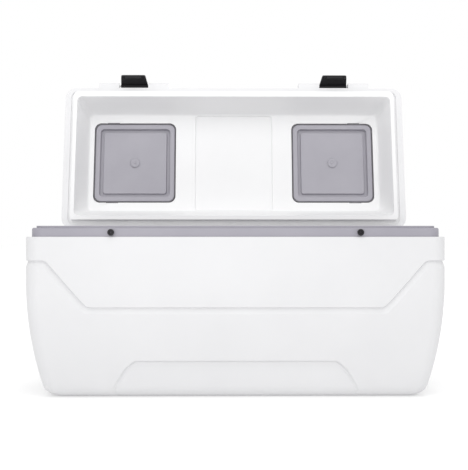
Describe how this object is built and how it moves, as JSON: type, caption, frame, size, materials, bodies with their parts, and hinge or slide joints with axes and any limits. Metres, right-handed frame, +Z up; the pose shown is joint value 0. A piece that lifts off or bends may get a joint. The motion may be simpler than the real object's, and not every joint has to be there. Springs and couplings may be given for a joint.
{
  "type": "chest cooler",
  "caption": "Large insulated chest cooler with its lid open on rear hinges, snap hatches through the lid, front latches, swing-up end handles and a threaded drain.",
  "frame": {"origin": "centre of the base, on the floor", "axes": "+X to the right along the cooler's length, front with the latch catches towards -Y, +Z up; the lid stands open at rest"},
  "size_m": [1.083, 0.6597, 0.9354],
  "materials": {
    "white_shell": "satin",
    "grey_liner": "satin",
    "black_plastic": "satin",
    "pale_plastic": "satin",
    "dark_rubber": "matte",
    "steel_fastener": "satin",
    "black_steel": "satin",
    "insulation_foam": "matte"
  },
  "bodies": {
    "body": {"body_shell": "white_shell", "body_foam": "insulation_foam", "body_liner": "grey_liner", "catch_post_left": "black_plastic", "catch_post_right": "black_plastic", "catch_screw_left": "black_steel", "catch_screw_right": "black_steel", "hinge_body_leaf_left": "pale_plastic", "hinge_body_leaf_middle": "pale_plastic", "hinge_body_leaf_right": "pale_plastic", "hinge_pin_left": "steel_fastener", "hinge_pin_middle": "steel_fastener", "hinge_pin_right": "steel_fastener", "hinge_body_screw_left_left": "steel_fastener", "hinge_body_screw_left_right": "steel_fastener", "hinge_body_screw_middle_left": "steel_fastener", "hinge_body_screw_middle_right": "steel_fastener", "hinge_body_screw_right_left": "steel_fastener", "hinge_body_screw_right_right": "steel_fastener", "handle_pin_left_front": "steel_fastener", "handle_pin_left_rear": "steel_fastener", "handle_pin_right_front": "steel_fastener", "handle_pin_right_rear": "steel_fastener", "drain_spout": "pale_plastic", "drain_washer": "dark_rubber", "drain_nut": "pale_plastic"},
    "lid": {"lid_shell": "white_shell", "lid_foam": "insulation_foam", "lid_liner": "white_shell", "hinge_lid_leaf_left": "pale_plastic", "hinge_lid_leaf_middle": "pale_plastic", "hinge_lid_leaf_right": "pale_plastic", "hinge_lid_screw_left_left": "steel_fastener", "hinge_lid_screw_left_right": "steel_fastener", "hinge_lid_screw_middle_left": "steel_fastener", "hinge_lid_screw_middle_right": "steel_fastener", "hinge_lid_screw_right_left": "steel_fastener", "hinge_lid_screw_right_right": "steel_fastener", "latch_pin_left": "steel_fastener", "latch_pin_right": "steel_fastener", "hatch_pin_left": "steel_fastener", "hatch_pin_right": "steel_fastener"},
    "latch_left": {"latch_left": "black_plastic"},
    "latch_right": {"latch_right": "black_plastic"},
    "hatch_left": {"hatch_cover_left": "white_shell", "hatch_liner_left": "grey_liner", "hatch_foam_left": "insulation_foam", "hatch_gasket_left": "dark_rubber", "hatch_plug_left": "grey_liner"},
    "hatch_right": {"hatch_cover_right": "white_shell", "hatch_liner_right": "grey_liner", "hatch_foam_right": "insulation_foam", "hatch_gasket_right": "dark_rubber", "hatch_plug_right": "grey_liner"},
    "handle_left": {"handle_bail_left": "pale_plastic", "handle_grip_left": "black_plastic"},
    "handle_right": {"handle_bail_right": "pale_plastic", "handle_grip_right": "black_plastic"},
    "drain_seal": {"drain_cap_gasket": "dark_rubber"},
    "drain_cap": {"drain_cap": "white_shell"}
  },
  "joints": [
    {"name": "lid_hinge", "type": "hinge", "parent": "body", "child": "lid", "pos_m": [0, 0.242, 0.435], "axis": [1, 0, 0], "range_deg": [0, 100]},
    {"name": "latch_left_hinge", "type": "hinge", "parent": "lid", "child": "latch_left", "pos_m": [-0.322, 0.35264, 0.90696], "axis": [1, 0, 0], "range_deg": [-100, 17]},
    {"name": "latch_right_hinge", "type": "hinge", "parent": "lid", "child": "latch_right", "pos_m": [0.322, 0.35264, 0.90696], "axis": [1, 0, 0], "range_deg": [-100, 17]},
    {"name": "hatch_left_hinge", "type": "hinge", "parent": "lid", "child": "hatch_left", "pos_m": [-0.1745, 0.38349, 0.65578], "axis": [0, -0.1736, -0.9848], "range_deg": [0, 95]},
    {"name": "hatch_right_hinge", "type": "hinge", "parent": "lid", "child": "hatch_right", "pos_m": [0.1745, 0.38349, 0.65578], "axis": [0, 0.1736, 0.9848], "range_deg": [0, 95]},
    {"name": "handle_left_swing", "type": "hinge", "parent": "body", "child": "handle_left", "pos_m": [-0.5285, 0, 0.314], "axis": [0, 1, 0], "range_deg": [0, 95]},
    {"name": "handle_right_swing", "type": "hinge", "parent": "body", "child": "handle_right", "pos_m": [0.5285, 0, 0.314], "axis": [0, -1, 0], "range_deg": [0, 95]},
    {"name": "drain_cap_travel", "type": "slide", "parent": "body", "child": "drain_seal", "axis": [1, 0, 0], "range_m": [0, 0.006]},
    {"name": "drain_cap_turn", "type": "hinge", "parent": "drain_seal", "child": "drain_cap", "pos_m": [0.51, 0.095, 0.066], "axis": [1, 0, 0], "range_deg": [0, 720]}
  ],
  "couplings": [
    {"joint": "drain_cap_travel", "follows": "drain_cap_turn", "m_per_rad": 0.00047746}
  ]
}
